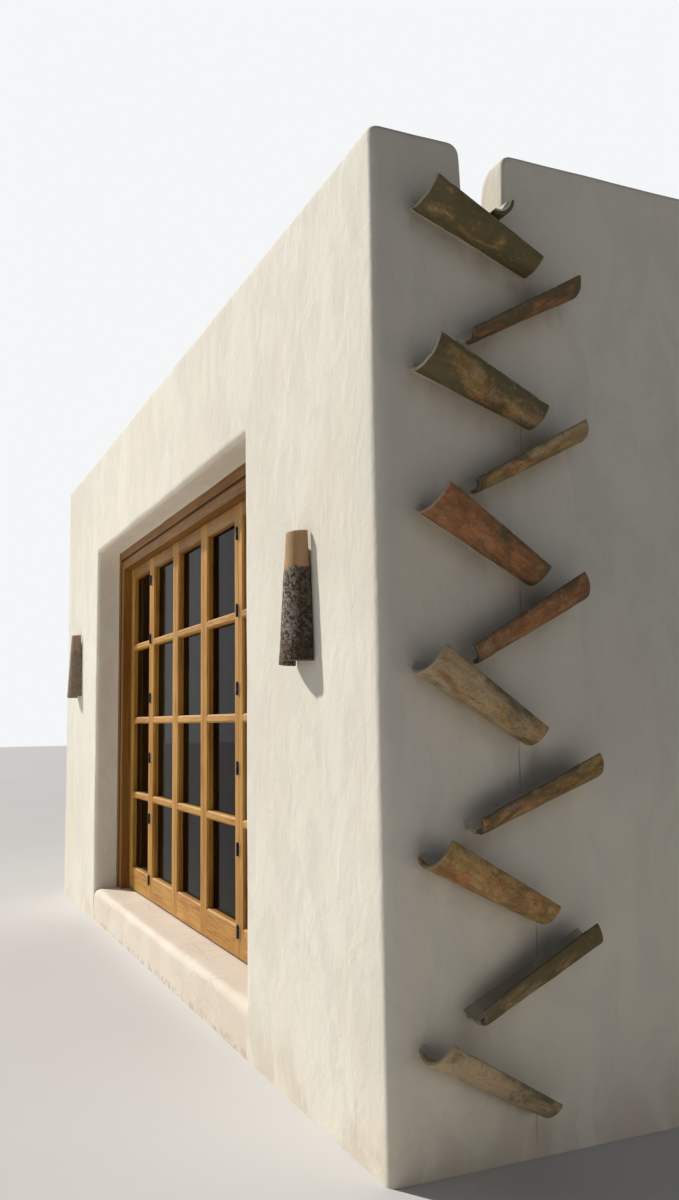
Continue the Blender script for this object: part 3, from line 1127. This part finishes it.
def frame_bar(name, node, x, y, z, lying, member):
    """A frame member: the section at one end joined to the section at the other, both closed. X and z
    hold one row of values for each end."""
    ends = [np.column_stack([x[k], y, z[k]]) for k in (0, 1)]
    count = len(y)
    faces = [[k, (k + 1) % count, (k + 1) % count + count, k + count] for k in range(count)]
    faces += [list(range(count)), list(range(count, 2 * count))]
    marks = {"lying": [lying] * len(faces), "member": [member] * len(faces), "shade": FRAME_SHADE}
    piece(f"frame_timber_{name}", np.concatenate(ends), faces, OAK, "timber", (node,), marks,
          bevel=0.0025, segments=3)


def build_frame():
    """Head and jambs of the timber frame: an outer band, a groove and an inner band set back a
    little, mitred at the upper corners."""
    depth = FRAME_HI[1] - FRAME_LO[1]
    inward = np.array([0, BAND, BAND, BAND + GROOVE, BAND + GROOVE, FRAME_WIDTH, FRAME_WIDTH, 0])
    y = FRAME_LO[1] + np.array([0, 0, GROOVE, GROOVE, BAND_STEP, BAND_STEP, depth, depth])
    left, right = inward - HALF_OPENING, HALF_OPENING - inward
    foot, head = 0 * inward + STEP_TOP, HEAD - inward
    frame_bar("left", "frame_left_jamb", (left, left), y, (foot, head), 0, 0.15)
    frame_bar("right", "frame_right_jamb", (right, right), y, (foot, head), 0, 0.3)
    frame_bar("head", "frame_head", (left, right), y, (head, head), 1, 0.5)


def build_leaf(number):
    """A stile-and-rail leaf as one skin: a front and a back sheet on the same grid of lines, with four
    openings in each, joined round the outside and, through chamfer, sight edge and rebate, round
    each pane. Behind each pane runs a glazing bead."""
    lo, hi = arrays(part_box(f"leaf_{number}"))
    pane_lo, pane_hi = arrays(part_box(f"glass_{number}"))
    left, right = pane_lo[0] + REBATE, pane_hi[0] - REBATE
    foot, head = pane_lo[2] + REBATE, pane_hi[2] - REBATE
    pane = (head - foot - (PANES - 1) * BAR) / PANES
    sills = foot + (pane + BAR) * np.arange(PANES)
    xs = np.array([lo[0], left - REBATE, left - CHAMFER, left, right, right + CHAMFER, right + REBATE, hi[0]])
    around = np.array([-REBATE, -CHAMFER, 0, pane, pane + CHAMFER, pane + REBATE])
    zs = np.concatenate([[lo[2]], (sills[:, None] + around).ravel(), [hi[2]]])
    rows = len(zs)
    sheet = np.array([(x, 0, z) for x in xs for z in zs])
    points = [sheet + [0, lo[1], 0], sheet + [0, hi[1], 0]]
    behind = len(sheet)
    faces, marks = [], {"lying": [], "member": [], "shade": []}
    tones = np.random.default_rng(600 + number).uniform(0, 1, PANES + 3)

    def keep(face, level):
        """Adds a face of a stile (level None on the left, -1 on the right) or of a rail or bar."""
        faces.append([int(c) for c in face])
        marks["lying"].append(0 if level is None or level < 0 else 1)
        marks["member"].append(tones[0] if level is None else tones[level + 2])
        marks["shade"].append(TOP_RAIL_SHADE if level == PANES else 0)

    def owner(i, j):
        return None if i < 3 else (-1 if i > 3 else (j + 2) // 6)

    for i in range(len(xs) - 1):
        for j in range(rows - 1):
            quad = np.array([i * rows + j, (i + 1) * rows + j, (i + 1) * rows + j + 1, i * rows + j + 1])
            in_pane = (j - 1) % 6
            if not (2 <= i < 5 and 1 <= in_pane < 4 and 0 < j < rows - 1):
                keep(quad, owner(i, j))
            if not (1 <= i < 6 and in_pane < 5 and 0 < j < rows - 1):
                keep(quad[::-1] + behind, owner(i, j))
    loop = perimeter(len(xs), rows)
    for a, b in zip(loop, np.roll(loop, -1)):
        i, j = min(a, b) // rows, min(a, b) % rows
        keep([a, b, b + behind, a + behind], owner(i, j) if i < 7 else -1)

    def sides(i0, i1, j0, j1):
        """Point numbers along the four sides of a hole in the grid, from line to line."""
        return [[i * rows + j0 for i in range(i0, i1 + 1)],
                [i1 * rows + j for j in range(j0, j1 + 1)],
                [i * rows + j1 for i in range(i1, i0 - 1, -1)],
                [i0 * rows + j for j in range(j1, j0 - 1, -1)]]

    start = 2 * behind
    glass_y = lo[1] + GLASS_DEPTH
    bead_y = glass_y + GLASS_THICK + np.array([0.0005, 0.0005, 0.005, 0.010, 0.0115])
    bead_in = REBATE - np.array([0, 0.013, 0.013, 0.009, 0])
    for r in range(PANES):
        low, high = 1 + 6 * r, 6 + 6 * r
        z0, z1 = zs[low + 2], zs[high - 2]
        levels = list(enumerate((r, -1, r + 1, None)))
        rings = [(0, lo[1] + CHAMFER), (0, glass_y), (REBATE, glass_y), *zip(bead_in, bead_y)]
        for grow, y in rings:
            points.append([(left - grow, y, z0 - grow), (right + grow, y, z0 - grow),
                           (right + grow, y, z1 + grow), (left - grow, y, z1 + grow)])
        front, back = sides(2, 5, low + 1, high - 1), sides(1, 6, low, high)
        for k, level in levels:
            m = (k + 1) % 4
            keep(front[k] + [start + m, start + k], level)
            for ring in (0, 4):
                keep([start + ring + k, start + ring + m, start + ring + 4 + m, start + ring + 4 + k], level)
            keep([start + 8 + k, start + 8 + m] + [c + behind for c in back[k][::-1]], level)
        start += 12
        for k, level in levels:
            m = (k + 1) % 4
            for a, b in zip(range(5), (1, 2, 3, 4, 0)):
                keep([start + 4 * a + k, start + 4 * a + m, start + 4 * b + m, start + 4 * b + k], level)
        start += 20
    piece(f"leaf_timber_{number}", np.concatenate(points), faces, OAK, "timber", (f"leaf_{number}",), marks,
          30, 0.0014)


def build_hinges():
    """Butt hinges with five-part knuckles and small finials. Each leaf plate shows as a narrow strip
    of paler metal beside the knuckle."""
    finial = [(0, 0), (0.0035, 0), (0.0050, 0.0012), (0.0045, 0.0026)]
    knuckle = list(finial)
    for k in range(5):
        low, high = 0.0035 + KNUCKLE_PITCH * k, 0.0035 + KNUCKLE_PITCH * (k + 1)
        knuckle += [(0.0056, low), (KNUCKLE_R, low + 0.0008), (KNUCKLE_R, high - 0.0008), (0.0056, high)]
    knuckle += [(r, HINGE - z) for r, z in finial[::-1]]
    leaf_lo, leaf_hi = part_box("leaf_1")
    for name, face, side in (("outer_left", leaf_lo[1], -1), ("outer_right", leaf_lo[1], -1),
                             ("inner", leaf_hi[1], 1)):
        lo, hi = arrays(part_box(f"hinges_{name}"))
        joints = [lo[0] + KNUCKLE_R]
        if side > 0:
            joints += [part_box("leaf_4")[0][0] - LEAF_GAP / 2, hi[0] - KNUCKLE_R]
        y = face + side * (KNUCKLE_R + 0.001)
        pins, plates = [], []
        for x, z in [(x, z) for x in joints for z in np.linspace(lo[2], hi[2] - HINGE, HINGES)]:
            pins.append(lathe(knuckle, (x, y, z), 14))
            pins.append(block((x - LEAF_GAP / 2, x + LEAF_GAP / 2), (y, face - side * 0.022),
                              (z + 0.002, z + HINGE - 0.002)))
            across = (face + side * 0.0020, face - side * 0.0006)
            upright = (z + 0.0025, z + HINGE - 0.0025)
            plates += [block((x + way * 0.003, x + way * 0.0155), across, upright) for way in (-1, 1)]
        piece(f"hinge_pins_{name}", *joined(pins), BRONZE, "bronze", (f"hinges_{name}",), crease=35)
        piece(f"hinge_plates_{name}", *joined(plates), ZINC, "bronze", bevel=0.0005)


# Camera, light and ground

def place_camera():
    """Turns the lens by yaw, pitch and roll from the front's normal, with the roll about its own axis."""
    ahead = Vector((-math.sin(CAMERA_YAW) * math.cos(CAMERA_PITCH),
                    math.cos(CAMERA_YAW) * math.cos(CAMERA_PITCH), math.sin(CAMERA_PITCH)))
    level = ahead.cross(Vector((0, 0, 1))).normalized()
    upright = level.cross(ahead)
    right = level * math.cos(CAMERA_ROLL) + upright * math.sin(CAMERA_ROLL)
    up = right.cross(ahead)
    lens = bpy.data.cameras.new("camera")
    lens.lens = CAMERA_LENS
    lens.sensor_width = 36
    camera = shown("camera", lens)
    turn = Matrix((right, up, -ahead)).transposed().to_4x4()
    camera.matrix_world = Matrix.Translation(CAMERA_PLACE) @ turn
    bpy.context.scene.camera = camera


def light_scene():
    """A broad soft key from the left front, an even fill from a pale backdrop, and weak soft
    cards: one low beside the side wall, one broad in front, and one low in front for the reveal."""
    sun = bpy.data.lights.new("key", "SUN")
    sun.energy = SUN_STRENGTH
    sun.angle = SUN_ANGLE
    sun.color = (1.0, 0.975, 0.94)
    shown("key", sun).rotation_euler = SUN_FROM.to_track_quat("Z", "Y").to_euler()
    for power, width, height, place, aim, spread, colour in CARDS:
        soft = bpy.data.lights.new("card", "AREA")
        soft.energy = power
        soft.shape = "RECTANGLE"
        soft.size, soft.size_y = width, height
        soft.spread = math.radians(spread)
        soft.color = colour
        card = shown("card", soft)
        card.visible_camera = False
        card.visible_glossy = False
        facing = (place - aim).to_track_quat("Z", "Y").to_matrix().to_4x4()
        card.matrix_world = Matrix.Translation(place + Vector((RIGHT, FRONT, 0))) @ facing
    world = bpy.data.worlds.new("studio")
    bpy.context.scene.world = world
    world.use_nodes = True
    world.node_tree.nodes.clear()
    n = Nodes(world.node_tree)
    path = n.add("LightPath").outputs
    seen = n.maths("MAXIMUM", path["Is Camera Ray"],
                   n.maths("MAXIMUM", path["Is Glossy Ray"], path["Is Transmission Ray"]))
    backdrop = n.add("Background", {"Color": n.blend(seen, (0.69, 0.94, 1.36), (0.98, 0.99, 1.0)),
                                    "Strength": n.plus(FILL, n.times(seen, BACKDROP - FILL))})
    n.add("OutputWorld", {0: backdrop.outputs[0]})


def lay_floor():
    """A plain pale floor, a hair below the house's foot."""
    mesh = bpy.data.meshes.new("studio_floor")
    mesh.from_pydata([(x * FLOOR_HALF, y * FLOOR_HALF, -FLOOR_DROP) for x, y in
                      ((-1, -1), (1, -1), (1, 1), (-1, 1))], [], [(0, 1, 2, 3)])
    n = finish("studio_floor", 0.95)
    shade = n.ramp(n.noise(n.coords(), 0.4), 0.3, 0.7)
    mesh.materials.append(n.done(n.blend(shade, (0.62, 0.60, 0.575), (0.64, 0.62, 0.595))))
    shown("studio_floor", mesh)


for build in (build_walls, build_roof, build_step, build_cascade, build_fillets, build_scupper,
              build_wall_lights, build_lamps, build_frame):
    build()
for leaf_number in range(1, 6):
    build_leaf(leaf_number)
build_hinges()
place_camera()
light_scene()
lay_floor()
bpy.context.scene.view_settings.view_transform = "Standard"

for node, material in [("floor_slab", FLOOR)] + [(f"glass_{number}", GLASS) for number in range(1, 6)]:
    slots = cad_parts[node].data.materials
    slots.clear()
    slots.append(material)
